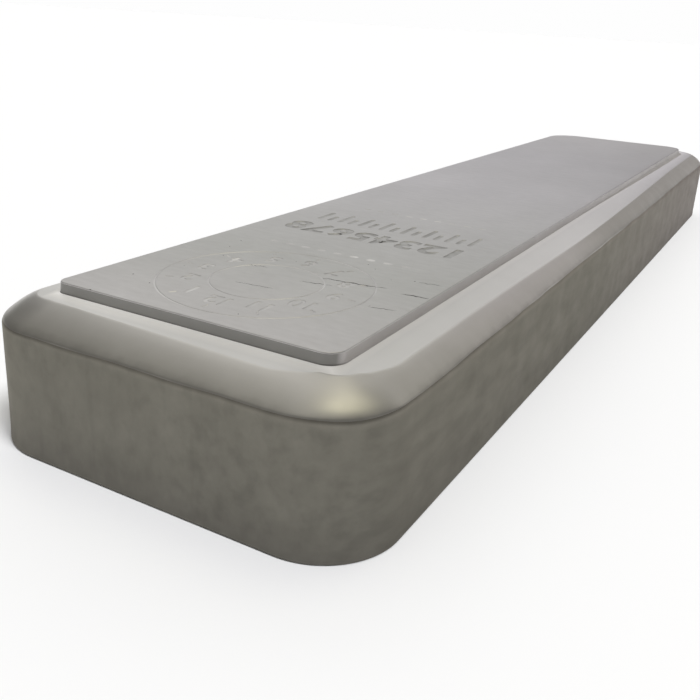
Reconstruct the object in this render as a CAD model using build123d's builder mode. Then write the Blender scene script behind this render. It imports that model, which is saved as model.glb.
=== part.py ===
from build123d import *

import math
import os

# A cast bar of silver, lying on its base. Millimetres, +Y along the bar, +Z up.
# The origin is the middle of the base.

# Body, whose sides lean in a little from the base up
base_width = 58.6
base_length = 246.0
base_corner_radius = 10.4
base_edge_radius = 0.5
side_height = 17.1
side_draft_angle = 1.2

# Shoulder, the soft slope from the top of the side up to the ledge
shoulder_run = 4.2
shoulder_rise = 2.4
shoulder_crease_radius = 0.5

# Ledge, the rim round the raised panel, which falls a little towards the outside
ledge_width = 3.3
ledge_fall = 0.75

# Raised panel, the flat top that takes the stamp
panel_height = 1.4
panel_draft_angle = 14.0
panel_foot_radius = 0.2
panel_edge_radius = 0.25

# Levels above the base
ledge_level = side_height + shoulder_rise + ledge_fall
panel_level = ledge_level + panel_height

# Insets from the outer edge of the base
side_top_inset = side_height * math.tan(math.radians(side_draft_angle))
ledge_outer_inset = side_top_inset + shoulder_run
panel_foot_inset = ledge_outer_inset + ledge_width
panel_top_inset = panel_foot_inset + panel_height * math.tan(math.radians(panel_draft_angle))
rim_inset = (panel_top_inset + base_corner_radius) / 2


def rounded_plan(inset):
    """The plan of the bar, drawn in from the edge of the base by an inset."""
    return RectangleRounded(
        base_width - 2 * inset,
        base_length - 2 * inset,
        base_corner_radius - inset,
    )


def round_corner(sketch, place, radius):
    """Rounds the corner of a section that stands nearest to a place."""
    fillet(sketch.vertices().sort_by_distance(place)[0], radius=radius)


with BuildPart() as ingot:
    # The rim's section: side, shoulder, ledge and panel wall, from the base edge inwards
    section_plane = Plane(origin=(base_width / 2, 0, 0), x_dir=(-1, 0, 0), z_dir=(0, 1, 0))
    with BuildSketch(section_plane) as rim_section:
        with BuildLine():
            side = Line((0, 0), (side_top_inset, side_height))
            ledge = Line(
                (panel_foot_inset, ledge_level),
                (ledge_outer_inset, ledge_level - ledge_fall),
            )
            TangentArc(ledge @ 1, side @ 1, tangent=ledge % 1)
            Polyline(
                ledge @ 0,
                (panel_top_inset, panel_level),
                (rim_inset, panel_level),
                (rim_inset, 0),
                side @ 0,
            )
        make_face()
        round_corner(rim_section, (0, 0), base_edge_radius)
        round_corner(rim_section, (side_top_inset, side_height), shoulder_crease_radius)
        round_corner(rim_section, (panel_foot_inset, ledge_level), panel_foot_radius)
        round_corner(rim_section, (panel_top_inset, panel_level), panel_edge_radius)

    # The section is carried once round the plan of the base, so its corners are turned
    with BuildSketch(mode=Mode.PRIVATE) as base_plan:
        rounded_plan(0)
    sweep(path=base_plan.face().outer_wire())

    # The metal inside the rim
    with BuildSketch() as core_plan:
        rounded_plan(rim_inset)
    extrude(amount=panel_level)

ingot.part.label = "ingot"

os.makedirs("parts", exist_ok=True)
export_step(ingot.part, "parts/ingot.step")
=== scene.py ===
import math
import random

import bmesh
import bpy
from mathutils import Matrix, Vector, geometry, noise


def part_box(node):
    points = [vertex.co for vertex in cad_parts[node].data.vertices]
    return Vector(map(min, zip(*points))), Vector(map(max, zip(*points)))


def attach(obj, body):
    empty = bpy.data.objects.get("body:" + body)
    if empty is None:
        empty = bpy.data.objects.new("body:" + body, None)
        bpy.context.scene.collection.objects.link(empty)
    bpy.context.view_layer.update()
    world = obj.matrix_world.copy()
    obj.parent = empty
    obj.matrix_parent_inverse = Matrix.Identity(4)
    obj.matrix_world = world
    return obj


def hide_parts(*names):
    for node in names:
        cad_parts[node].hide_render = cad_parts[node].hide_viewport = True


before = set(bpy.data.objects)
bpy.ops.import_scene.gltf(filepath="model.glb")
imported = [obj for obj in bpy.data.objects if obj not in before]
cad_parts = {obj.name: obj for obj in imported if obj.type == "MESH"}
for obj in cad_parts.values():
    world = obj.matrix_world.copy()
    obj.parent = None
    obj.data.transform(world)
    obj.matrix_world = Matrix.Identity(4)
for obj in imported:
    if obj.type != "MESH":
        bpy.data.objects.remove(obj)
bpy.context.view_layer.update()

# Metres throughout, in the frame of the solid model: +Y along the bar, +Z up, base at zero
MM = 0.001

# The bar's outside, from the solid
NODE_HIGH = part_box("ingot")[1]
HALF_WIDTH = NODE_HIGH.x
HALF_LENGTH = NODE_HIGH.y
PANEL_LEVEL = NODE_HIGH.z

# Body and shoulder, whose corners in plan are far right, far left, near left and near right.
# Of the points of the crease's rounding, those below CREASE_BORDER belong to the side.
# The shoulder leaves the ledge at the slope SHOULDER_START, and SHOULDER_SWELL is the share of
# its run at which its middle corner lies.
BASE_RADII = (10.4 * MM,) * 4
BASE_EDGE = 0.5 * MM
SIDE_DRAFT = math.radians(1.2)
CREASE_LEVEL = 17.3 * MM
CREASE_ROUNDING = 0.5 * MM
CREASE_BORDER = 6
SHOULDER_START = {"side": math.radians(22), "near": math.radians(19), "far": math.radians(22)}
SHOULDER_SWELL = 0.5

# Raised panel, whose corners in plan go in the same order
PANEL_HEIGHT = 1.45 * MM
PANEL_DRAFT = {"side": math.radians(4), "near": math.radians(4), "far": math.radians(40)}
PANEL_FOOT_ROUNDING = 0.12 * MM
PANEL_EDGE_ROUNDING = 0.16 * MM
PANEL_TOP_INSET = 8.2 * MM
PANEL_RADII = (5 * MM, 9 * MM, 1.5 * MM, 2.3 * MM)

# Ledge, measured out from the panel's edge. At the near end it is narrow, and flares with x.
LEDGE_WIDTH = {"side": 4.4 * MM, "near": 2.95 * MM, "far": 5.8 * MM}
LEDGE_FLARE = 0.03
LEDGE_SLOPE = {"side": math.radians(11), "near": math.radians(11), "far": math.radians(3)}
LEDGE_ROUNDING = 0.2 * MM

# Along the sides the ledge widens, from a start over a length
WIDENING = 0.9 * MM
WIDENING_START = -95 * MM
WIDENING_LENGTH = 70 * MM

# Towards the far end the wall and the edges of the ledge and shoulder are softer
SOFT_START = -30 * MM
SOFT_LENGTH = 130 * MM
SOFT_DRAFT = math.radians(12)
SOFT_FOOT = 0.6 * MM
SOFT_LEDGE = 0.5 * MM
SOFT_CREASE = 0.8 * MM

# At the near right corner the ledge is cut short and the shoulder is fuller
CORNER_CUT = 2 * MM
CORNER_LIFT = 0.2 * MM
CORNER_START = math.radians(3.5)
CORNER_SWELL = 0.19
CORNER_REACH = (5 * MM, 13 * MM)

# Share of a run that the shoulder's roundings take, and share of the ledge's softening that
# they give up
FULL_REACH = 0.9
LEDGE_GIVE = 0.7

# Cast unevenness, always into the metal: depth, size and seed of the waves
CREASE_WAVE = (0.5 * MM, 9 * MM, 9)
SIDE_WAVE = (0.1 * MM, 12 * MM, 0)
SIDE_RIPPLE = (0.02 * MM, 3 * MM, 7)
RIM_WAVE = (0.06 * MM, 10 * MM, 3)
PANEL_WAVE = (0.02 * MM, 14 * MM, 5)
BASE_WAVE = (0.12 * MM, 16 * MM, 5)

# Mesh spacing, and the steps round a corner in plan, a stroke's end and a circle
PLAN_STEP = 1.2 * MM
PANEL_STEP = 1.3 * MM
BASE_STEP = 4 * MM
CORNER_STEPS = 28
STROKE_STEPS = 5
CIRCLE_STEPS = 120
MERGE_DISTANCE = 1e-7

# Marks in the panel: a dial, a scale and beads, upright when seen from the far end
CUT_LIFT = 0.05 * MM
STAMP_CENTRE = Vector((0, -97.5 * MM))
DIAL_RADIUS = 14.8 * MM
DIAL_INNER_RADIUS = 7.8 * MM
DIAL_NUMBER_RADIUS = 10.6 * MM
DIAL_NUMBER_HEIGHT = 2.9 * MM
DIAL_LINE = 0.18 * MM
DIAL_SLOPE = 0.12 * MM
DIAL_DEPTH = 0.07 * MM
TICK_START = 12.7 * MM
TICK_LENGTH = 0.9 * MM
SCALE_COUNT = 8
SCALE_DIGITS_Y = -67.1 * MM
SCALE_TICKS_Y = -57.6 * MM
SCALE_WIDTH = 29 * MM
SCALE_DIGIT_HEIGHT = 5.6 * MM
SCALE_TICK_LENGTH = 5.2 * MM
SCALE_SHORT_TICK_LENGTH = 2.8 * MM
SCALE_LINE = 0.45 * MM
SCALE_SLOPE = 0.28 * MM
SCALE_DEPTH = 0.14 * MM
BEAD_ROWS = (-79 * MM, -47.5 * MM)
BEAD_COUNT = 9
BEAD_RADIUS = 0.5 * MM

# Beads' first place and spacing across the bar, as shares of the scale's width
BEAD_START = 0.4
BEAD_STEP = 0.1

# A digit's height as a share of the typeface's size, and its straight edge as a share of its slope
DIGIT_SHARE = 0.73
DIGIT_EXTRUDE = 0.1

# Cracks in the cast face as (start, end, half width, depth), with the step along them and how
# far they wander, all in millimetres
CRACKS = (
    ((20.8, -90.3), (16.9, -90.9), 0.13, 0.35),
    ((14.4, -90.0), (4.6, -91.6), 0.12, 0.3),
    ((19.6, -97.4), (15.8, -98.2), 0.08, 0.2),
    ((20.0, -84.0), (16.6, -84.6), 0.08, 0.2),
    ((8.0, -93.6), (3.4, -94.6), 0.09, 0.2),
    ((-3.6, -92.0), (-6.6, -92.6), 0.07, 0.15),
    ((2.6, -99.6), (-3.2, -100.4), 0.07, 0.15),
)
CRACK_STEP = 0.45
CRACK_WANDER = 0.16

# A crack's size at its ends, and how much its size changes by chance, as shares
CRACK_END = 0.15
CRACK_CHANGE = (0.6, 1.1)

# Pinholes, in a net round the dial: share of its places without one, largest shift as a share
# of the spacing, and radius in millimetres
PIT_SPACING = 5.5 * MM
PIT_REACH = (16 * MM, 17 * MM)
PIT_GAPS = 0.65
PIT_SHIFT = 0.4
PIT_RADIUS = (0.06, 0.13)
CHANCE_SEED = 5

# Colours along the bar, with the near end at zero and the far end at one
PANEL_TONES = (
    (0.0, (0.69, 0.67, 0.662)),
    (0.15, (0.615, 0.613, 0.592)),
    (0.45, (0.69, 0.672, 0.7)),
    (0.7, (0.635, 0.616, 0.652)),
    (0.95, (0.675, 0.654, 0.685)),
)
SHOULDER_TINTS = (
    (0.06, (1, 1, 1)),
    (0.2, (1.07, 1.05, 1.1)),
    (0.32, (1.07, 1.05, 1.1)),
    (0.42, (0.83, 0.81, 0.82)),
    (0.7, (0.8, 0.775, 0.795)),
    (0.95, (0.84, 0.81, 0.84)),
)

# Colours upwards, each with painted shade: the side from the base to the crease, darker towards
# the base, and the shoulder from the crease on, darker towards the crease
SIDE_TONES_AND_PAINTED_SHADE = (
    (0.0, (0.175, 0.167, 0.146)),
    (0.35, (0.204, 0.196, 0.169)),
    (1.0, (0.218, 0.209, 0.178)),
)
SHOULDER_TONES_AND_PAINTED_SHADE = (
    (0.0, (0.35, 0.337, 0.306)),
    (0.2, (0.445, 0.43, 0.392)),
    (0.4, (0.545, 0.53, 0.487)),
    (1.0, (0.63, 0.612, 0.578)),
)

# Colours out from the panel, brightest along the panel's foot as painted light, and how much
# earlier they change on the long sides
LEDGE_TONES_AND_PAINTED_LIGHT = (
    (0.0, (0.96, 0.95, 0.94)),
    (0.5, (0.77, 0.76, 0.75)),
    (1.0, (0.64, 0.635, 0.63)),
)
LEDGE_SIDE_LEAD = 0.7 * MM

# Colours of the wall at the ends, dark as painted shade, and on the long sides, lighter as
# painted light, and of the ledge at the near and far end
WALL_PAINTED_LIGHT_AND_SHADE = ((0.0, (0.26, 0.255, 0.241)), (1.0, (0.5, 0.478, 0.468)))
LEDGE_TINTS = ((0.1, (1, 0.995, 0.975)), (1.0, (1.08, 1.05, 1.12)))

# Tints and levels that the metal reaches towards a side, an end or the crease. The sides' tints
# towards the far end and just under the crease are painted light.
PANEL_LEFT_LEVEL = 1.03
WALL_FAR_LEVEL = 1.25
LEDGE_FAR_LEVEL = 0.7
LEDGE_SIDE_LEVEL = 0.9
LEDGE_LEFT_LEVEL = 1.07
LEDGE_RIGHT_LEVEL = 0.93
SIDE_FAR_PAINTED_LIGHT = (1.3, 1.23, 1.37)
SIDE_EDGE_PAINTED_LIGHT = (1.45, 1.4, 1.42)
SIDE_EDGE_NEAR = 0.35

# Where these changes start and end: up from the crease, out from the panel's edge, or along x
SIDE_EDGE_REACH = (-1.2 * MM, -0.2 * MM)
SHOULDER_REACH = (-0.5 * MM, 2 * MM)
WALL_REACH = (-0.5 * MM, -0.05 * MM)
LEDGE_REACH = (0.1 * MM, 1.9 * MM)
LEDGE_FADE_REACH = (1.1 * MM, 4.1 * MM)
LEDGE_SIDE_REACH = (-7 * MM, -0.5 * MM)
LEDGE_LEFT_REACH = (-16 * MM, 6 * MM)

# Raggedness of the painted shade along the shoulder's lower edge, and fine relief
CREASE_SHADE_RAG = 0.15 * MM
SIDE_RELIEF = 0.008 * MM
BASE_RELIEF = 0.08 * MM

# Floor and key light, with its direction and softness in degrees
FLOOR_RADIUS = 40
FLOOR_SIDES = 96
FLOOR_COLOUR = (0.92, 0.925, 0.945)
KEY_DIRECTION = (110, 62)
KEY_STRENGTH = 2.25
KEY_SOFTNESS = 20

# Sky, and its glows as (azimuth, elevation), inner and outer angle, level and sometimes a colour
SKY_AMBIENT = (0.25, 0.246, 0.238)
SKY_GLOWS = (
    ((-34, 28), 23, 31, 0.49),
    ((-50, 38), 6, 18, 0.12),
    ((15, 26), 8, 30, 0.28, (1, 0.97, 0.93)),
    ((24, 26), 6, 24, 0.08, (1, 0.97, 0.93)),
    ((-66, 50), 6, 20, 0.06),
    ((-70, 75), 10, 40, 0.34, (1, 0.98, 0.92)),
    ((-152, 8), 10, 28, 0.4),
    ((10, 72), 4, 17, 1.15, (1, 0.95, 0.68)),
)

# White backdrop, with the angles over which it fades to its sides and its top
BACKDROP_WHITE = 0.99
BACKDROP_AZIMUTH = -30
BACKDROP_SPREAD = (30, 50)
BACKDROP_TOP = (3, 8)

# Camera, solved from the edges of the panel and the base in the photograph, turned in degrees
CAMERA_SENSOR = 36
CAMERA_LENS = 41.9
CAMERA_START = 10 * MM
CAMERA_PLACE = (60.22 * MM, -184.87 * MM, 54.66 * MM)
CAMERA_TURN = (68.092, -3.183, 29.491)

ZONES = ("panel", "wall", "ledge", "shoulder", "side", "base", "line", "stamp", "crack")
MARK_ZONES = ("line", "stamp", "crack")
CORNER_SIGNS = ((1, 1), (-1, 1), (-1, -1), (1, -1))
SHARP_ANGLE = math.radians(40)


# Shape


def between(sizes, end, endness):
    """A size that goes from its value at the sides to its value at an end."""
    return sizes["side"] + (sizes[end] - sizes["side"]) * endness


def bend(start, corner, end, steps):
    """A soft corner, as points of a curve from start to end that leans towards the corner."""
    points = []
    for i in range(steps + 1):
        t = i / steps
        points.append(start * (1 - t) ** 2 + corner * 2 * t * (1 - t) + end * t * t)
    return points


def soft_step(value):
    """A soft rise from zero to one, as the value goes from zero to one."""
    value = min(1, max(0, value))
    return value * value * (3 - 2 * value)


def wave(place, depth, size, seed):
    """A soft random depth from zero to depth."""
    return depth * (0.5 + 0.5 * noise.noise(place / size + Vector((seed, seed, seed))))


def corner_share(edge):
    """How close a place on the base edge is to the near right corner: one in it, zero far off."""
    back = BASE_RADII[3] * (1 - math.sqrt(0.5))
    corner = Vector((HALF_WIDTH - back, back - HALF_LENGTH))
    distance = (edge - corner).length
    return soft_step((CORNER_REACH[1] - distance) / (CORNER_REACH[1] - CORNER_REACH[0]))


def rim_sizes(edge, endness):
    """The sizes of the rim's section at a place on the base edge."""
    end = "far" if edge.y > 0 else "near"
    cut = corner_share(edge)
    soft = soft_step((edge.y - SOFT_START) / SOFT_LENGTH) * (1 - endness)
    wide = soft_step((edge.y - WIDENING_START) / WIDENING_LENGTH) * (1 - endness) * (1 - soft)
    width = between(LEDGE_WIDTH, end, endness) + WIDENING * wide - CORNER_CUT * cut
    if end == "near":
        width += LEDGE_FLARE * endness * edge.x
    return {
        "crease": CREASE_LEVEL + CORNER_LIFT * cut - wave(edge.to_3d(), *CREASE_WAVE),
        "crease_rounding": CREASE_ROUNDING + SOFT_CREASE * soft,
        "swell": SHOULDER_SWELL + CORNER_SWELL * cut,
        "start": between(SHOULDER_START, end, endness) - CORNER_START * cut,
        "ledge": width,
        "ledge_slope": between(LEDGE_SLOPE, end, endness),
        "ledge_rounding": LEDGE_ROUNDING + SOFT_LEDGE * soft,
        "wall": PANEL_HEIGHT * math.tan(between(PANEL_DRAFT, end, endness) + SOFT_DRAFT * soft),
        "foot_rounding": PANEL_FOOT_ROUNDING + SOFT_FOOT * soft,
    }


def section_corners(sizes):
    """The corners of the rim's section, from the base up to the panel.

    Each has its place, two reaches, steps and zone, then the steps and zone of the run after it.
    """
    crease = Vector((sizes["crease"] * math.tan(SIDE_DRAFT), sizes["crease"]))
    head = Vector((PANEL_TOP_INSET, PANEL_LEVEL))
    foot = head - Vector((sizes["wall"], PANEL_HEIGHT))
    width = sizes["ledge"] - sizes["wall"]
    ledge = foot - Vector((width, width * math.tan(sizes["ledge_slope"])))
    run = ledge.x - crease.x
    out = run * sizes["swell"]
    swell = ledge - Vector((out, out * math.tan(sizes["start"])))
    given = LEDGE_GIVE * (sizes["ledge_rounding"] - LEDGE_ROUNDING)
    low_reach = FULL_REACH * (run - out) - given
    high_reach = FULL_REACH * out - given
    free = FULL_REACH * ((swell - crease).length - low_reach)
    crease_reach = min(sizes["crease_rounding"], free)
    return [
        (Vector((0, 0)), (BASE_EDGE,) * 2, 4, "side", 22, "side"),
        (crease, (crease_reach,) * 2, 8, "crease", 1, "shoulder"),
        (swell, (low_reach, high_reach), 14, "shoulder", 1, "shoulder"),
        (ledge, (sizes["ledge_rounding"],) * 2, 4, "shoulder", 12, "ledge"),
        (foot, (sizes["foot_rounding"],) * 2, 3, "wall", 6, "wall"),
        (head, (PANEL_EDGE_ROUNDING,) * 2, 4, "panel", 0, "panel"),
    ]


def section(sizes):
    """The rim's section from the base up to the panel, as (inset, height) points with zones."""
    corners = section_corners(sizes)
    places = [Vector((2 * BASE_EDGE, 0))] + [corner[0] for corner in corners]
    places.append(places[-1] + Vector((2 * PANEL_EDGE_ROUNDING, 0)))
    rows = []
    before = "side"
    for i, (corner, reach, steps, zone, run, run_zone) in enumerate(corners):
        start = corner + (places[i] - corner).normalized() * reach[0]
        end = corner + (places[i + 2] - corner).normalized() * reach[1]
        points = bend(start, corner, end, steps)
        rows.append((points[0], before))
        if zone == "crease":
            rows += [(point, "side") for point in points[1:CREASE_BORDER]]
            rows += [(point, "shoulder") for point in points[CREASE_BORDER:]]
        else:
            rows += [(point, zone) for point in points[1:]]
        if run > 1:
            following, next_reach = corners[i + 1][:2]
            stop = following + (end - following).normalized() * next_reach[0]
            shares = [0.5 - 0.5 * math.cos(math.pi * j / run) for j in range(1, run)]
            rows += [(end.lerp(stop, share), run_zone) for share in shares]
        before = run_zone
    return rows


def outline(inset, radii):
    """Once round the bar at an inset: the places with their outward direction and endness."""
    reach = Vector((HALF_WIDTH - inset, HALF_LENGTH - inset))
    corners = []
    for signs, radius in zip(CORNER_SIGNS, radii):
        centre = Vector((signs[0] * (reach.x - radius), signs[1] * (reach.y - radius)))
        corners.append((centre, radius))
    stations = []
    for i, (centre, radius) in enumerate(corners):
        for j in range(CORNER_STEPS + 1):
            turn = j / CORNER_STEPS
            angle = math.radians(90 * (i + turn))
            out = Vector((math.cos(angle), math.sin(angle)))
            endness = turn if i % 2 == 0 else 1 - turn
            stations.append((centre + out * radius, out, soft_step(endness)))
        place, out, endness = stations[-1]
        following, next_radius = corners[(i + 1) % 4]
        stop = following + out * next_radius
        count = round(2 * (HALF_LENGTH if i % 2 else HALF_WIDTH) / PLAN_STEP)
        stations += [(place.lerp(stop, j / count), out, endness) for j in range(1, count)]
    return stations


def unevenness(place, zone):
    """How far a point of the rim lies inside the plain shape."""
    if zone == "side":
        grown = min(1, place.z / (4 * BASE_EDGE))
        return grown * (wave(place, *SIDE_WAVE) + wave(place, *SIDE_RIPPLE))
    if zone in ("shoulder", "ledge"):
        return wave(place, *RIM_WAVE)
    return 0


def set_zone(faces, zone):
    """Gives faces the material of a zone."""
    for face in faces:
        face.material_index = ZONES.index(zone)


def add_band(mesh, low, high, zone):
    """A closed band of faces between two rings of points."""
    faces = []
    for i in range(len(low)):
        j = (i + 1) % len(low)
        faces.append(mesh.faces.new((low[i], low[j], high[j], high[i])))
    set_zone(faces, zone)


def add_rim(mesh):
    """Rings of faces from the base edge to the panel edge. Returns the first and last ring."""
    outer = outline(0, BASE_RADII)
    inner = outline(PANEL_TOP_INSET, PANEL_RADII)
    zones = [zone for _, zone in section(rim_sizes(outer[0][0], 0))]
    rings = [[] for _ in zones]
    for (edge, out, endness), (panel, _, _) in zip(outer, inner):
        sizes = rim_sizes(edge, endness)
        ledge_inset = PANEL_TOP_INSET - sizes["ledge"]
        for ring, ((inset, height), zone) in zip(rings, section(sizes)):
            share = min(1, max(0, (inset - ledge_inset) / (sizes["ledge"] - sizes["wall"])))
            from_edge = edge - out * inset
            from_panel = panel + out * (PANEL_TOP_INSET - inset)
            place = Vector((*from_edge.lerp(from_panel, share), height))
            ring.append(mesh.verts.new(place - Vector((*out, 0)) * unevenness(place, zone)))
    for low, high, zone in zip(rings, rings[1:], zones[1:]):
        add_band(mesh, low, high, zone)
    return rings[0], rings[-1]


def depth_inside(point, reach, radii):
    """How far a point lies inside a rounded rectangle with four corner radii."""
    signs = (1 if point.x > 0 else -1, 1 if point.y > 0 else -1)
    radius = radii[CORNER_SIGNS.index(signs)]
    x = abs(point.x) - reach.x + radius
    y = abs(point.y) - reach.y + radius
    return radius - math.hypot(max(x, 0), max(y, 0)) - min(max(x, y), 0)


def net_points(reach, radii, step):
    """The points of a net inside a rounded rectangle, a third of a step or more from its edge."""
    count_x = math.floor(2 * reach.x / step)
    count_y = math.floor(2 * reach.y / step)
    points = []
    for i in range(1, count_x):
        for j in range(1, count_y):
            point = Vector((2 * i / count_x - 1, 2 * j / count_y - 1)) * reach
            if depth_inside(point, reach, radii) > step / 3:
                points.append(point)
    return points


def add_cap(mesh, ring, radii, step, zone, waves, into):
    """Closes a ring with a net of triangles, waved a little into the metal, up (1) or down (-1)."""
    rim = [v.co.xy for v in ring]
    reach = Vector((max(p.x for p in rim), max(p.y for p in rim)))
    places = rim + net_points(reach, radii, step)
    edges = [(i, (i + 1) % len(ring)) for i in range(len(ring))]
    points, _, triangles, *_ = geometry.delaunay_2d_cdt(places, edges, [], 1, MERGE_DISTANCE)
    verts = list(ring)
    for point in points[len(ring):]:
        place = Vector((*point, ring[0].co.z))
        rise = min(1, depth_inside(point, reach, radii) / (4 * step))
        dip = rise * wave(place, *waves)
        verts.append(mesh.verts.new(place + Vector((0, 0, into * dip))))
    faces = []
    for triangle in triangles:
        corners = [verts[i] for i in triangle]
        faces.append(mesh.faces.new(corners if into < 0 else corners[::-1]))
    set_zone(faces, zone)


def add_to_scene(name, data):
    """A scene object that holds the given data."""
    made = bpy.data.objects.new(name, data)
    bpy.context.scene.collection.objects.link(made)
    return made


def make_object(name, mesh):
    """A scene object from a finished bmesh."""
    data = bpy.data.meshes.new(name)
    mesh.to_mesh(data)
    mesh.free()
    return add_to_scene(name, data)


def build_ingot():
    """The whole bar as one closed mesh."""
    mesh = bmesh.new()
    bottom, top = add_rim(mesh)
    base_radii = [radius - BASE_EDGE for radius in BASE_RADII]
    add_cap(mesh, bottom, base_radii, BASE_STEP, "base", BASE_WAVE, 1)
    panel_radii = [radius - PANEL_EDGE_ROUNDING for radius in PANEL_RADII]
    add_cap(mesh, top, panel_radii, PANEL_STEP, "panel", PANEL_WAVE, -1)
    return make_object("ingot_metal", mesh)


def shade(data):
    """Smooth shading, but for the sharp edges and the borders of the marks."""
    marks = [ZONES.index(zone) for zone in MARK_ZONES]
    mesh = bmesh.new()
    mesh.from_mesh(data)
    for face in mesh.faces:
        face.smooth = True
    for edge in mesh.edges:
        zones = {face.material_index for face in edge.link_faces}
        border = len(zones) > 1 and any(zone in marks for zone in zones)
        edge.smooth = not border and edge.calc_face_angle(0) < SHARP_ANGLE
    mesh.to_mesh(data)
    mesh.free()


# Marks


def add_groove(mesh, edge, floor, depth, zone):
    """A closed cutter with sloping walls, from an outline at the surface to a floor outline."""
    lift = CUT_LIFT / depth
    spread = [e + (e - f) * lift for e, f in zip(edge, floor)]
    upper = [mesh.verts.new((*point, PANEL_LEVEL + CUT_LIFT)) for point in spread]
    lower = [mesh.verts.new((*point, PANEL_LEVEL - depth)) for point in floor]
    faces = [mesh.faces.new(upper), mesh.faces.new(lower[::-1])]
    for i in range(len(upper)):
        j = (i + 1) % len(upper)
        faces.append(mesh.faces.new((upper[i], lower[i], lower[j], upper[j])))
    set_zone(faces, zone)


def capsule(start, end, radius):
    """The outline of a stroke with round ends."""
    along = (end - start).normalized()
    across = Vector((-along.y, along.x))
    points = []
    for centre, sign in ((end, 1), (start, -1)):
        for i in range(STROKE_STEPS + 1):
            angle = math.pi * (i / STROKE_STEPS - 0.5)
            out = along * math.cos(angle) + across * math.sin(angle)
            points.append(centre + out * radius * sign)
    return points


def add_stroke(mesh, start, end, half_width, depth, zone):
    """A stamped stroke."""
    edge = capsule(start, end, half_width)
    add_groove(mesh, edge, capsule(start, end, half_width / 2), depth, zone)


def add_ring(mesh, radius, half_width, depth):
    """A stamped circle round the dial's centre."""
    lifted_width = half_width + half_width / 2 * CUT_LIFT / depth
    profile = (
        (radius - lifted_width, CUT_LIFT),
        (radius - half_width / 2, -depth),
        (radius + half_width / 2, -depth),
        (radius + lifted_width, CUT_LIFT),
    )
    rows = []
    for i in range(CIRCLE_STEPS):
        angle = 2 * math.pi * i / CIRCLE_STEPS
        out = Vector((math.cos(angle), math.sin(angle)))
        places = [(*(STAMP_CENTRE + out * r), PANEL_LEVEL + z) for r, z in profile]
        rows.append([mesh.verts.new(place) for place in places])
    for low, high in zip(rows, rows[1:] + rows[:1]):
        add_band(mesh, low, high, "line")


def letter_mesh(text, height, slope):
    """Plain digits in Blender's own typeface, centred, with sloping edges."""
    curve = bpy.data.curves.new("digits", "FONT")
    curve.body = text
    curve.size = height / DIGIT_SHARE
    curve.align_x = "CENTER"
    curve.resolution_u = 3
    curve.extrude = slope * DIGIT_EXTRUDE
    curve.bevel_depth = slope
    curve.bevel_resolution = 1
    letters = add_to_scene("digits", curve)
    graph = bpy.context.evaluated_depsgraph_get()
    data = bpy.data.meshes.new_from_object(letters.evaluated_get(graph))
    mesh = bmesh.new()
    mesh.from_mesh(data)
    bmesh.ops.remove_doubles(mesh, verts=mesh.verts, dist=MERGE_DISTANCE)
    bpy.data.objects.remove(letters)
    bpy.data.meshes.remove(data)
    bpy.data.curves.remove(curve)
    return mesh


def add_number(mesh, text, centre, height, slope, depth, zone):
    """Digits as a sloping cutter that reads from the far end."""
    letters = letter_mesh(text, height, slope)
    made = {}
    for v in letters.verts:
        place = centre - Vector((v.co.x, v.co.y - height / 2))
        level = PANEL_LEVEL + v.co.z * depth / ((1 + DIGIT_EXTRUDE) * slope)
        made[v] = mesh.verts.new((*place, level))
    set_zone([mesh.faces.new([made[v] for v in face.verts]) for face in letters.faces], zone)
    letters.free()


def add_dial(mesh):
    """A plain dial: two circles, ticks and the numbers one to twelve."""
    add_ring(mesh, DIAL_RADIUS, DIAL_LINE, DIAL_DEPTH)
    add_ring(mesh, DIAL_INNER_RADIUS, DIAL_LINE, DIAL_DEPTH)
    for hour in range(1, 13):
        angle = math.radians(30 * hour)
        out = Vector((-math.sin(angle), -math.cos(angle)))
        start = STAMP_CENTRE + out * TICK_START
        add_stroke(mesh, start, start + out * TICK_LENGTH, DIAL_LINE, DIAL_DEPTH, "line")
        place = STAMP_CENTRE + out * DIAL_NUMBER_RADIUS
        add_number(mesh, str(hour), place, DIAL_NUMBER_HEIGHT, DIAL_SLOPE, DIAL_DEPTH, "line")


def add_scale(mesh):
    """A plain scale: a row of digits with a row of ticks behind it."""
    last = SCALE_COUNT - 1
    for i in range(SCALE_COUNT):
        place = Vector((SCALE_WIDTH * (0.5 - i / last), SCALE_DIGITS_Y))
        add_number(mesh, str(i + 1), place, SCALE_DIGIT_HEIGHT, SCALE_SLOPE, SCALE_DEPTH, "stamp")
    for i in range(2 * last + 1):
        x = SCALE_WIDTH * (0.5 - i / (2 * last))
        length = SCALE_SHORT_TICK_LENGTH if i % 2 else SCALE_TICK_LENGTH
        start = Vector((x, SCALE_TICKS_Y - SCALE_TICK_LENGTH / 2))
        add_stroke(mesh, start, start + Vector((0, length)), SCALE_LINE, SCALE_DEPTH, "stamp")


def add_beads(mesh):
    """Two rows of shallow beads."""
    for y in BEAD_ROWS:
        for i in range(BEAD_COUNT):
            start = Vector((SCALE_WIDTH * (BEAD_START - BEAD_STEP * i), y))
            end = start + Vector((BEAD_RADIUS, 0))
            add_stroke(mesh, start, end, BEAD_RADIUS, DIAL_DEPTH, "line")


def crack_rows(mesh, start, end, half_width, depth, chance):
    """The cross-sections of a crack, whose sides rise as far above the face as it is deep."""
    across = Vector((start.y - end.y, end.x - start.x)).normalized()
    steps = max(6, round((end - start).length / (CRACK_STEP * MM)))
    rows = []
    for i in range(steps + 1):
        t = i / steps
        fullness = CRACK_END + (1 - CRACK_END) * math.sin(math.pi * t) ** 0.5
        fade = fullness * chance.uniform(*CRACK_CHANGE) * MM
        middle = start.lerp(end, t) + across * chance.uniform(-CRACK_WANDER, CRACK_WANDER) * MM
        side = across * half_width * fade * 2
        lift = depth * fade
        places = (
            (*(middle - side), PANEL_LEVEL + lift),
            (*middle, PANEL_LEVEL - lift),
            (*(middle + side), PANEL_LEVEL + lift),
        )
        rows.append([mesh.verts.new(place) for place in places])
    return rows


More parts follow.
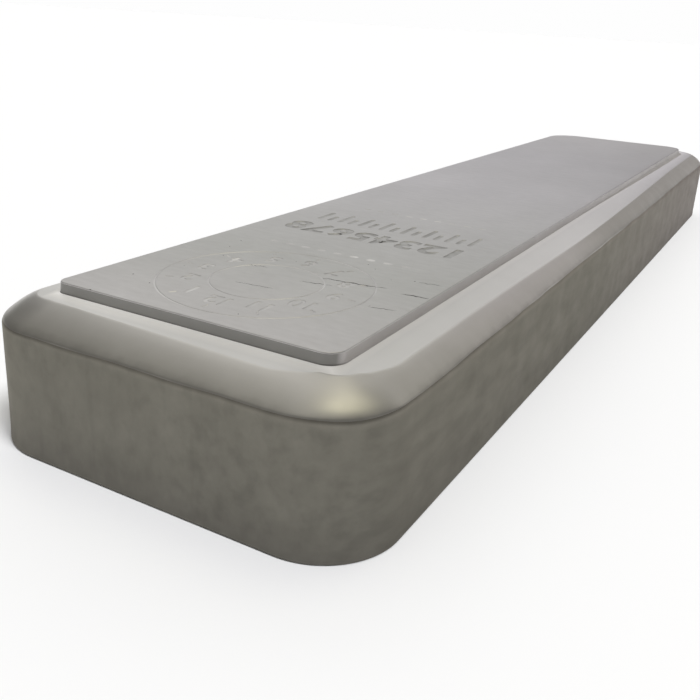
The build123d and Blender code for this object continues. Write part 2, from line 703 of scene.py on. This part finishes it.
def add_cracks(mesh, chance):
    """Thin wavy cracks, with a sharp bottom and fading ends."""
    for start, end, half_width, depth in CRACKS:
        rows = crack_rows(mesh, Vector(start) * MM, Vector(end) * MM, half_width, depth, chance)
        faces = [mesh.faces.new(rows[0]), mesh.faces.new(rows[-1][::-1])]
        for low, high in zip(rows, rows[1:]):
            for i in range(3):
                j = (i + 1) % 3
                faces.append(mesh.faces.new((low[j], low[i], high[i], high[j])))
        set_zone(faces, "crack")


def add_pits(mesh, chance):
    """Small pinholes in the cast face, round the dial."""
    count_x = round(PIT_REACH[0] / PIT_SPACING)
    count_y = round(PIT_REACH[1] / PIT_SPACING)
    for i in range(-count_x, count_x + 1):
        for j in range(-count_y, count_y + 1):
            if chance.random() < PIT_GAPS:
                continue
            shift = Vector([chance.uniform(-PIT_SHIFT, PIT_SHIFT) for _ in range(2)])
            place = STAMP_CENTRE + (Vector((i, j)) + shift) * PIT_SPACING
            radius = chance.uniform(*PIT_RADIUS) * MM
            made = bmesh.ops.create_icosphere(mesh, subdivisions=1, radius=radius)
            for v in made["verts"]:
                v.co += Vector((*place, PANEL_LEVEL))
                set_zone(v.link_faces, "crack")


def cut(target, mesh):
    """Takes a closed mesh out of the target."""
    bmesh.ops.recalc_face_normals(mesh, faces=mesh.faces)
    tool = make_object("cutter", mesh)
    for material in target.data.materials:
        tool.data.materials.append(material)
    modifier = target.modifiers.new("cut", "BOOLEAN")
    modifier.operation = "DIFFERENCE"
    modifier.solver = "MANIFOLD"
    modifier.object = tool
    graph = bpy.context.evaluated_depsgraph_get()
    data = bpy.data.meshes.new_from_object(target.evaluated_get(graph))
    target.modifiers.clear()
    target.data = data
    bpy.data.objects.remove(tool)


def mark_ingot(ingot):
    """Stamps the dial, scale and beads, then opens the cracks and pits."""
    for add in (add_dial, add_scale, add_beads):
        mesh = bmesh.new()
        add(mesh)
        cut(ingot, mesh)
    chance = random.Random(CHANCE_SEED)
    for add in (add_cracks, add_pits):
        mesh = bmesh.new()
        add(mesh, chance)
        cut(ingot, mesh)


# Materials


def principled(name, colour, roughness):
    """A metal material, with its shader and its node tree."""
    material = bpy.data.materials.new(name)
    material.use_nodes = True
    shader = material.node_tree.nodes["Principled BSDF"]
    shader.inputs["Base Color"].default_value = (*colour, 1)
    shader.inputs["Metallic"].default_value = 1
    shader.inputs["Roughness"].default_value = roughness
    return material, shader, material.node_tree


def noise_node(tree, scale, rates=(1, 1, 1), detail=4):
    """Noise over the object, in waves to the metre, times a rate for each axis."""
    nodes, links = tree.nodes, tree.links
    place = nodes.new("ShaderNodeTexCoord")
    mapping = nodes.new("ShaderNodeMapping")
    mapping.inputs["Scale"].default_value = rates
    links.new(place.outputs["Object"], mapping.inputs["Vector"])
    node = nodes.new("ShaderNodeTexNoise")
    node.inputs["Scale"].default_value = scale
    node.inputs["Detail"].default_value = detail
    links.new(mapping.outputs["Vector"], node.inputs["Vector"])
    return node.outputs["Fac"]


def map_value(tree, factor, low, high, start=0.3, end=0.7, soft=False):
    """Turns a factor into a value, low at its start and high at its end."""
    node = tree.nodes.new("ShaderNodeMapRange")
    if soft:
        node.interpolation_type = "SMOOTHSTEP"
    node.inputs["From Min"].default_value = start
    node.inputs["From Max"].default_value = end
    node.inputs["To Min"].default_value = low
    node.inputs["To Max"].default_value = high
    tree.links.new(factor, node.inputs["Value"])
    return node.outputs["Result"]


def map_colour(tree, factor, stops):
    """Turns a factor into a colour, by stops of place and colour."""
    node = tree.nodes.new("ShaderNodeValToRGB")
    elements = node.color_ramp.elements
    while len(elements) < len(stops):
        elements.new(0.5)
    for element, (place, colour) in zip(elements, stops):
        element.position = place
        element.color = (*colour, 1)
    tree.links.new(factor, node.inputs["Fac"])
    return node.outputs["Color"]


def map_tint(tree, factor, tint, start=0.0, end=1.0):
    """No tint up to a start of the factor, the full tint from an end on."""
    return map_colour(tree, factor, ((start, (1, 1, 1)), (end, tint)))


def math_value(tree, operation, first, second=None):
    """One sum on a value and on another value or a number."""
    node = tree.nodes.new("ShaderNodeMath")
    node.operation = operation
    tree.links.new(first, node.inputs[0])
    if isinstance(second, bpy.types.NodeSocket):
        tree.links.new(second, node.inputs[1])
    elif second is not None:
        node.inputs[1].default_value = second
    return node.outputs["Value"]


def place_value(tree, axis, space="Object"):
    """The place along an axis."""
    place = tree.nodes.new("ShaderNodeTexCoord")
    split = tree.nodes.new("ShaderNodeSeparateXYZ")
    tree.links.new(place.outputs[space], split.inputs["Vector"])
    return split.outputs[axis]


def place_share(tree, axis, start, end):
    """Zero up to a start along an axis, rising to one at an end."""
    return map_value(tree, place_value(tree, axis), 0, 1, start, end)


def distance_value(tree, axis):
    """The distance from the bar's middle along an axis."""
    return math_value(tree, "ABSOLUTE", place_value(tree, axis))


def outward_value(tree, axis, half_size):
    """How far a place lies out from the panel's edge along an axis."""
    return math_value(tree, "SUBTRACT", distance_value(tree, axis), half_size - PANEL_TOP_INSET)


def uneven_height(tree):
    """The height above the base, made ragged by a noise."""
    rag = map_value(tree, noise_node(tree, 500, detail=3), -CREASE_SHADE_RAG, CREASE_SHADE_RAG)
    return math_value(tree, "ADD", place_value(tree, "Z"), rag)


def far_share(tree):
    """Zero over the near part of the bar, rising to one over its soft far part."""
    return place_share(tree, "Y", SOFT_START, SOFT_START + SOFT_LENGTH)


def spread(tree, factor, low):
    """A grey from a low value to one that follows a noise."""
    return map_colour(tree, factor, ((0.3, [low] * 3), (0.7, [1] * 3)))


def paint(tree, shader, *colours):
    """Gives the shader the product of several colours."""
    total = colours[0]
    for colour in colours[1:]:
        node = tree.nodes.new("ShaderNodeVectorMath")
        node.operation = "MULTIPLY"
        tree.links.new(total, node.inputs[0])
        tree.links.new(colour, node.inputs[1])
        total = node.outputs["Vector"]
    tree.links.new(total, shader.inputs["Base Color"])


def roughen(tree, shader, factor, low, high):
    """Gives the shader a roughness between two values that follows a noise."""
    tree.links.new(map_value(tree, factor, low, high), shader.inputs["Roughness"])


def add_bump(tree, shader, height, distance):
    """Fine relief from a height."""
    node = tree.nodes.new("ShaderNodeBump")
    node.inputs["Strength"].default_value = 1
    node.inputs["Distance"].default_value = distance
    tree.links.new(height, node.inputs["Height"])
    tree.links.new(node.outputs["Normal"], shader.inputs["Normal"])


def clouded(name, colour, roughness, scale, stops):
    """A metal whose colour goes softly between two tones, in a noise of some scale."""
    material, shader, tree = principled(name, colour, roughness)
    paint(tree, shader, map_colour(tree, noise_node(tree, scale), stops))
    return material, shader, tree


def panel_metal():
    """The stamped face: satin with faint streaks, and colder beyond the stamps."""
    material, shader, tree = principled("panel_satin", (0.46, 0.455, 0.45), 0.4)
    shader.inputs["Specular Tint"].default_value = (0.85, 0.85, 0.85, 1)
    tone = map_colour(tree, place_share(tree, "Y", -HALF_LENGTH, HALF_LENGTH), PANEL_TONES)
    reach = 0.6 * HALF_WIDTH
    across = map_value(tree, place_value(tree, "X"), PANEL_LEFT_LEVEL, 1, -reach, reach)
    clouds = spread(tree, noise_node(tree, 60, rates=(1, 0.6, 1)), 0.92)
    streaks = spread(tree, noise_node(tree, 160, rates=(1, 9, 1), detail=6), 0.97)
    grain = spread(tree, noise_node(tree, 600, rates=(1, 2, 1)), 0.95)
    paint(tree, shader, tone, across, clouds, streaks, grain)
    roughen(tree, shader, noise_node(tree, 240, rates=(1, 4, 1)), 0.36, 0.44)
    return material


def wall_metal():
    """The panel's wall: dark at the ends as painted shade, lighter on the long sides as painted
    light, and lighter towards the far end.
    """
    material, shader, tree = principled("wall_painted_light_and_shade", (0.3, 0.29, 0.275), 0.4)
    sideways = map_value(tree, outward_value(tree, "X", HALF_WIDTH), 0, 1, *WALL_REACH)
    # Painted shade at the wall's ends and painted light on its long sides
    tone = map_colour(tree, sideways, WALL_PAINTED_LIGHT_AND_SHADE)
    far = map_value(tree, far_share(tree), 1, WALL_FAR_LEVEL, 0, 1)
    paint(tree, shader, tone, far, spread(tree, noise_node(tree, 150), 0.88))
    return material


def ledge_tone(tree, across, endways):
    """The ledge's colour by the distance out from the panel, which counts early on the sides, with
    painted light along the panel's foot.
    """
    early = math_value(tree, "ADD", across, LEDGE_SIDE_LEAD)
    out = math_value(tree, "MAXIMUM", early, endways)
    return map_colour(tree, map_value(tree, out, 0, 1, *LEDGE_REACH), LEDGE_TONES_AND_PAINTED_LIGHT)


def ledge_fade(tree, across):
    """A grey that darkens the outer part of the ledge along the soft far part of the sides."""
    outwards = map_value(tree, across, 0, 1, *LEDGE_FADE_REACH)
    share = math_value(tree, "MULTIPLY", outwards, far_share(tree))
    return map_value(tree, share, 1, LEDGE_FAR_LEVEL, 0, 1)


def ledge_metal():
    """The ledge: frosted and bright, with painted light along the panel's foot."""
    material, shader, tree = principled("ledge_frosted", (0.6, 0.59, 0.58), 0.48)
    shader.inputs["Metallic"].default_value = 0.35
    shader.inputs["Specular IOR Level"].default_value = 0.2
    across = outward_value(tree, "X", HALF_WIDTH)
    # Painted light: the ledge is brightest along the panel's foot
    tone = ledge_tone(tree, across, outward_value(tree, "Y", HALF_LENGTH))
    levels = (LEDGE_LEFT_LEVEL, LEDGE_RIGHT_LEVEL)
    leftwards = map_value(tree, place_value(tree, "X"), *levels, *LEDGE_LEFT_REACH)
    sideways = map_value(tree, across, 1, LEDGE_SIDE_LEVEL, *LEDGE_SIDE_REACH)
    tint = map_colour(tree, place_share(tree, "Y", -HALF_LENGTH, HALF_LENGTH / 2), LEDGE_TINTS)
    clouds = spread(tree, noise_node(tree, 70, rates=(1, 0.5, 1)), 0.95)
    paint(tree, shader, tone, leftwards, sideways, tint, ledge_fade(tree, across), clouds)
    roughen(tree, shader, noise_node(tree, 180), 0.44, 0.52)
    return material


def shoulder_metal():
    """The shoulder: smoother than the ledge, warmer towards the crease, and darker there as painted
    shade.
    """
    material, shader, tree = principled("shoulder_satin", (0.48, 0.47, 0.45), 0.34)
    start, end = (CREASE_LEVEL + reach for reach in SHOULDER_REACH)
    level = map_value(tree, uneven_height(tree), 0, 1, start, end)
    # Painted shade: the shoulder darkens towards the crease
    tone = map_colour(tree, level, SHOULDER_TONES_AND_PAINTED_SHADE)
    tint = map_colour(tree, place_share(tree, "Y", -HALF_LENGTH, HALF_LENGTH), SHOULDER_TINTS)
    clouds = spread(tree, noise_node(tree, 70, rates=(1, 0.5, 1)), 0.94)
    streaks = spread(tree, noise_node(tree, 250, rates=(0.15, 0.15, 3)), 0.96)
    paint(tree, shader, tone, tint, clouds, streaks)
    roughen(tree, shader, noise_node(tree, 180), 0.3, 0.38)
    return material


def side_edge(tree):
    """Painted light: a brighter line just under the crease, fainter near the near end."""
    upper = place_share(tree, "Z", *(CREASE_LEVEL + reach for reach in SIDE_EDGE_REACH))
    start, end = -HALF_LENGTH, -HALF_LENGTH / 3
    along = map_value(tree, place_value(tree, "Y"), SIDE_EDGE_NEAR, 1, start, end)
    return map_tint(tree, math_value(tree, "MULTIPLY", upper, along), SIDE_EDGE_PAINTED_LIGHT)


def side_stains(tree):
    """Faint darker stains, gathered in patches."""
    fine = noise_node(tree, 420, rates=(1, 0.25, 1), detail=6)
    patches = noise_node(tree, 40, rates=(1, 0.25, 1))
    specks = math_value(tree, "MULTIPLY", fine, patches)
    return map_tint(tree, specks, [0.87] * 3, 0.27, 0.4)


def side_metal():
    """The cast sides: dark and warm, partly a duller cast finish and partly painted shade for the
    dim surroundings they mirror, with more painted shade towards the base, painted light towards
    the far end and under the crease, and faint clouds, stains, scratches and a fine grain.
    """
    material, shader, tree = principled("side_cast", (0.2, 0.19, 0.165), 0.45)
    shader.inputs["Specular Tint"].default_value = (0.78, 0.76, 0.72, 1)
    # Painted shade: the sides are dark, and darker towards the base
    tone = map_colour(tree, place_share(tree, "Z", 0, CREASE_LEVEL), SIDE_TONES_AND_PAINTED_SHADE)
    # Painted light towards the far end
    tint = map_tint(tree, far_share(tree), SIDE_FAR_PAINTED_LIGHT)
    clouds = spread(tree, noise_node(tree, 90, rates=(1, 0.35, 0.6)), 0.95)
    grain = spread(tree, noise_node(tree, 800, rates=(1, 0.25, 0.7), detail=3), 0.9)
    scratches = noise_node(tree, 900, rates=(0.5, 0.2, 0.03), detail=2)
    lines = map_tint(tree, scratches, [0.95] * 3, 0.64, 0.72)
    # The paint includes painted light just under the crease
    paint(tree, shader, tone, side_edge(tree), tint, clouds, grain, side_stains(tree), lines)
    roughen(tree, shader, noise_node(tree, 200), 0.45, 0.55)
    add_bump(tree, shader, noise_node(tree, 350, rates=(1, 0.25, 0.5)), SIDE_RELIEF)
    return material


def base_metal():
    """The underside: rougher, as it left the mould."""
    stops = ((0.3, (0.2, 0.192, 0.175)), (0.7, (0.32, 0.31, 0.285)))
    material, shader, tree = clouded("base_cast", (0.25, 0.24, 0.22), 0.55, 60, stops)
    add_bump(tree, shader, noise_node(tree, 300, detail=6), BASE_RELIEF)
    return material


def line_metal():
    """The dial's lines and the beads: brighter than the face."""
    stops = ((0.35, (0.55, 0.54, 0.53)), (0.65, (0.74, 0.73, 0.715)))
    return clouded("stamped_line", (0.65, 0.64, 0.63), 0.4, 120, stops)[0]


def stamp_metal():
    """The scale's deeper strokes: darker than the face, as painted shade in the grooves."""
    # Painted shade: the strokes are darker than the face
    stops = ((0.3, (0.38, 0.375, 0.365)), (0.7, (0.54, 0.535, 0.525)))
    return clouded("stamped_stroke", (0.42, 0.415, 0.405), 0.42, 400, stops)[0]


def crack_metal():
    """The inside of cracks and pits: nearly black."""
    stops = ((0.3, (0.04, 0.038, 0.035)), (0.7, (0.09, 0.085, 0.078)))
    return clouded("crack_dark", (0.06, 0.055, 0.05), 0.7, 800, stops)[0]


def make_materials():
    """One material for each zone, in the order of ZONES."""
    return [
        panel_metal(),
        wall_metal(),
        ledge_metal(),
        shoulder_metal(),
        side_metal(),
        base_metal(),
        line_metal(),
        stamp_metal(),
        crack_metal(),
    ]


# Studio


def direction(azimuth, elevation):
    """A unit vector by angles in degrees: azimuth from +Y towards +X, and elevation."""
    a, e = math.radians(azimuth), math.radians(elevation)
    return Vector((math.sin(a) * math.cos(e), math.cos(a) * math.cos(e), math.sin(e)))


def add_floor():
    """A plain white floor that runs to the horizon."""
    mesh = bmesh.new()
    bmesh.ops.create_circle(mesh, cap_ends=True, segments=FLOOR_SIDES, radius=FLOOR_RADIUS)
    floor = make_object("studio_floor", mesh)
    material = bpy.data.materials.new("studio_floor")
    material.use_nodes = True
    shader = material.node_tree.nodes["Principled BSDF"]
    shader.inputs["Base Color"].default_value = (*FLOOR_COLOUR, 1)
    shader.inputs["Roughness"].default_value = 1
    shader.inputs["Specular IOR Level"].default_value = 0
    floor.data.materials.append(material)


def add_key():
    """A soft high light, which whitens the floor and casts the shadow."""
    data = bpy.data.lights.new("key", "SUN")
    data.energy = KEY_STRENGTH
    data.angle = math.radians(KEY_SOFTNESS)
    key = add_to_scene("key", data)
    key.rotation_euler = direction(*KEY_DIRECTION).to_track_quat("Z", "Y").to_euler()
    key.visible_glossy = False


def toward(tree, place, inner, outer, level=1):
    """A round patch of sky that fades from an inner to an outer angle in degrees."""
    sky = tree.nodes.new("ShaderNodeTexCoord")
    near = tree.nodes.new("ShaderNodeVectorMath")
    near.operation = "DOT_PRODUCT"
    near.inputs[1].default_value = direction(*place)
    tree.links.new(sky.outputs["Generated"], near.inputs[0])
    start, end = math.cos(math.radians(outer)), math.cos(math.radians(inner))
    return map_value(tree, near.outputs["Value"], 0, level, start, end, soft=True)


def add_glow(tree, total, place, inner, outer, level, colour=(1, 1, 1)):
    """The sky so far with one more lamp or bright wall."""
    tint = tree.nodes.new("ShaderNodeVectorMath")
    tint.operation = "SCALE"
    tint.inputs[0].default_value = colour
    tree.links.new(toward(tree, place, inner, outer, level), tint.inputs["Scale"])
    add = tree.nodes.new("ShaderNodeVectorMath")
    add.inputs[0].default_value = SKY_AMBIENT
    if total:
        tree.links.new(total, add.inputs[0])
    tree.links.new(tint.outputs["Vector"], add.inputs[1])
    return add.outputs["Vector"]


def backdrop_share(tree):
    """One on the white backdrop low behind the bar, and zero in the rest of the sky."""
    full, none = (math.sin(math.radians(angle)) for angle in BACKDROP_TOP)
    low = map_value(tree, place_value(tree, "Z", "Generated"), 0, 1, none, full, soft=True)
    behind = toward(tree, (BACKDROP_AZIMUTH, 0), *BACKDROP_SPREAD)
    return math_value(tree, "MULTIPLY", low, behind)


def add_world():
    """A dim room with a broad bright wall behind the bar, warm lamps and a white backdrop."""
    world = bpy.data.worlds.new("studio_world")
    world.use_nodes = True
    tree = world.node_tree
    total = None
    for glow in SKY_GLOWS:
        total = add_glow(tree, total, *glow)
    # A mix of vectors has its share on input 0, the vectors on 4 and 5, and its result on output 1
    mix = tree.nodes.new("ShaderNodeMix")
    mix.data_type = "VECTOR"
    tree.links.new(backdrop_share(tree), mix.inputs[0])
    tree.links.new(total, mix.inputs[4])
    mix.inputs[5].default_value = [BACKDROP_WHITE] * 3
    tree.links.new(mix.outputs[1], tree.nodes["Background"].inputs["Color"])
    bpy.context.scene.world = world


def add_camera():
    """The photograph's view."""
    data = bpy.data.cameras.new("camera")
    data.sensor_width = CAMERA_SENSOR
    data.lens = CAMERA_LENS
    data.clip_start = CAMERA_START
    camera = add_to_scene("camera", data)
    camera.location = CAMERA_PLACE
    camera.rotation_euler = [math.radians(angle) for angle in CAMERA_TURN]
    bpy.context.scene.camera = camera


ingot = build_ingot()
for material in make_materials():
    ingot.data.materials.append(material)
mark_ingot(ingot)
shade(ingot.data)
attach(ingot, "root")
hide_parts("ingot")

add_floor()
add_key()
add_world()
add_camera()
bpy.context.scene.view_settings.view_transform = "Standard"
